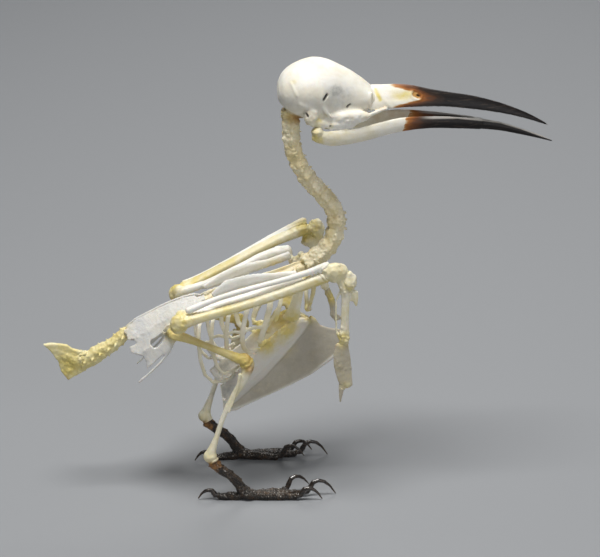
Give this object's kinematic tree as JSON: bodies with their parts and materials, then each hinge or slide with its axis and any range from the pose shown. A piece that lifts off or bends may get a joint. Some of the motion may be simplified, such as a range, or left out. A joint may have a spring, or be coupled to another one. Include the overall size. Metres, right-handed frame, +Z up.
{
  "type": "bird skeleton",
  "caption": "Life-size skeleton of a small long-billed bird standing on its own dried, clawed feet, with folded wings, a deep keel and a plough-shaped tail bone.",
  "frame": {"origin": "on the floor under the middle of the whole skeleton's box", "axes": "+X forward along the bill, +Y to the bird's left, +Z up; the soles rest on z = 0"},
  "size_m": [0.1168, 0.0294, 0.102],
  "materials": {
    "skull": "ivory bone, satin, with greasy yellow patches",
    "bill": "black horn, glossy, white to orange-brown at its root",
    "jaw": "black horn on ivory bone, satin",
    "spine": "rough ivory bone with dried yellow tissue",
    "pale_bone": "thin white bone, satin, slightly see-through",
    "limb_bone": "ivory bone, satin, yellow where fat has stayed",
    "foot_skin": "dried scaly skin, dark brown to black",
    "claw": "black horn, glossy"
  },
  "bodies": {
    "root": {"skull": "skull", "upper_bill": "bill", "lower_jaw": "jaw", "neck_upper": "spine", "neck_middle": "spine", "neck_lower": "spine", "back": "spine", "pelvis": "pale_bone", "tail": "spine", "pygostyle": "spine", "sternum": "pale_bone", "coracoid_right": "pale_bone", "scapula_right": "pale_bone", "coracoid_left": "pale_bone", "scapula_left": "pale_bone", "furcula": "limb_bone", "ribs_right": "pale_bone", "ribs_left": "pale_bone", "humerus_right": "limb_bone", "ulna_right": "limb_bone", "radius_right": "limb_bone", "hand_right": "limb_bone", "thumb_right": "limb_bone", "finger_right": "limb_bone", "fingertip_right": "limb_bone", "humerus_left": "limb_bone", "ulna_left": "limb_bone", "radius_left": "limb_bone", "hand_left": "limb_bone", "thumb_left": "limb_bone", "finger_left": "limb_bone", "fingertip_left": "limb_bone", "femur_right": "limb_bone", "tibia_right": "limb_bone", "femur_left": "limb_bone", "tibia_left": "limb_bone", "foot_right": "foot_skin", "claw_right_inner": "claw", "claw_right_middle": "claw", "claw_right_outer": "claw", "claw_right_hind": "claw", "foot_left": "foot_skin", "claw_left_inner": "claw", "claw_left_middle": "claw", "claw_left_outer": "claw", "claw_left_hind": "claw"}
  },
  "joints": []
}
